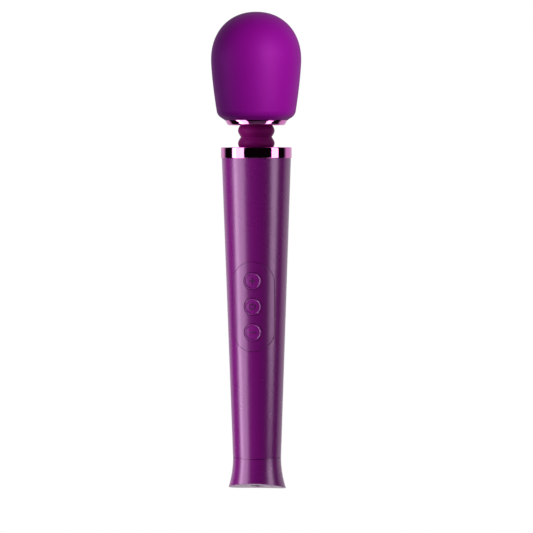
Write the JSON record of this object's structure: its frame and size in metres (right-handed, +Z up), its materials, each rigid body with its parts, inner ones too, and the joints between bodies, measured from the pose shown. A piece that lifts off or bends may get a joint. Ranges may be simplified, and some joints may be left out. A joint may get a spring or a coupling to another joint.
{
  "type": "handheld wand massager",
  "caption": "Cordless wand massager: a domed silicone head on a flexible bellows neck, above a long tapered handle with push buttons in a front panel and a charging socket in the flared tail.",
  "frame": {"origin": "on the handle's axis, level with the lowest point of the tail's rim", "axes": "+Z runs up the wand from tail to head, -Y is the side the buttons face, +X is to the right of someone facing the buttons"},
  "size_m": [0.0636, 0.0636, 0.3389],
  "materials": {
    "body_plastic": "satin moulded plastic, deep purple",
    "tinted_chrome": "mirror plating with a pink-purple tint",
    "head_silicone": "matt silicone, bright purple",
    "neck_silicone": "matt silicone, dark magenta",
    "black_rubber": "moulded rubber",
    "keypad_rubber": "thin silicone sheet",
    "foam_tape": "double-sided tape",
    "white_plastic": "moulded structural plastic",
    "dark_plastic": "moulded plastic",
    "board_laminate": "green solder mask",
    "screw_steel": "zinc-plated steel",
    "spring_steel": "drawn spring wire",
    "motor_steel": "zinc-plated and ground steel",
    "cover_aluminium": "die-cast",
    "copper": "copper and sintered bronze",
    "brass": "turned brass",
    "nickel": "nickel strip",
    "cell_wrap": "shrink wrap over a metal case",
    "lead_red": "insulated wire",
    "lead_black": "insulated wire",
    "lead_white": "insulated wire"
  },
  "bodies": {
    "handle": {"tail_cap": "body_plastic", "tail_seal": "black_rubber", "charge_jack": "motor_steel", "jack_nut": "brass", "port_grommet": "black_rubber", "handle_tube": "body_plastic", "collar_ring": "tinted_chrome", "collar_screws": "screw_steel", "neck_bulkhead": "white_plastic", "bulkhead_screws": "screw_steel", "chassis_rear": "dark_plastic", "chassis_front": "dark_plastic", "chassis_screws": "screw_steel", "battery_cell_lower": "cell_wrap", "battery_cell_upper": "cell_wrap", "battery_tabs": "nickel", "battery_leads": "lead_red", "charge_leads": "lead_black", "main_board": "board_laminate", "board_components": "dark_plastic", "board_screws": "screw_steel", "switch_housings": "dark_plastic", "control_panel": "body_plastic", "keypad_tape": "foam_tape", "keypad_membrane": "keypad_rubber", "neck_spring_lower": "spring_steel", "motor_leads": "lead_white"},
    "neck_mid": {"neck_waist_ring": "white_plastic", "neck_bellows": "neck_silicone"},
    "head": {"head_cushion": "head_silicone", "trim_ring": "tinted_chrome", "trim_screws": "screw_steel", "head_base": "white_plastic", "head_dome": "white_plastic", "motor_cover": "cover_aluminium", "motor_cover_screws": "screw_steel", "motor_screws": "screw_steel", "motor_sleeve": "black_rubber", "motor_can": "motor_steel", "motor_magnets": "motor_steel", "motor_end_bell": "dark_plastic", "motor_bushings": "copper", "motor_brushes": "dark_plastic", "motor_terminals": "brass", "neck_spring_upper": "spring_steel"},
    "rotor": {"motor_shaft": "motor_steel", "armature_core": "motor_steel", "armature_windings": "copper", "commutator": "copper", "eccentric_weight": "brass", "weight_screw": "screw_steel"},
    "button_plus": {"button_plus": "body_plastic", "plunger_plus": "white_plastic"},
    "button_power": {"button_power": "body_plastic", "plunger_power": "white_plastic"},
    "button_minus": {"button_minus": "body_plastic", "plunger_minus": "white_plastic"}
  },
  "joints": [
    {"name": "neck_sway", "type": "hinge", "parent": "handle", "child": "neck_mid", "pos_m": [0, 0, 0.24634], "axis": [0, 1, 0], "range_deg": [-12, 12], "stiffness_Nm_per_rad": 4, "deforming": ["neck_bellows", "neck_spring_lower", "motor_leads"]},
    {"name": "neck_nod", "type": "hinge", "parent": "neck_mid", "child": "head", "pos_m": [0, 0, 0.25534], "axis": [1, 0, 0], "range_deg": [-12, 12], "stiffness_Nm_per_rad": 4, "deforming": ["neck_spring_upper"]},
    {"name": "rotor_spin", "type": "hinge", "parent": "head", "child": "rotor", "pos_m": [0, 0, 0.28], "axis": [0, 0, 1], "continuous": true},
    {"name": "plus_press", "type": "slide", "parent": "handle", "child": "button_plus", "axis": [0, 1, 0], "range_m": [0, 0.0006], "stiffness_N_per_m": 400},
    {"name": "power_press", "type": "slide", "parent": "handle", "child": "button_power", "axis": [0, 1, 0], "range_m": [0, 0.0006], "stiffness_N_per_m": 400},
    {"name": "minus_press", "type": "slide", "parent": "handle", "child": "button_minus", "axis": [0, 1, 0], "range_m": [0, 0.0006], "stiffness_N_per_m": 400}
  ]
}
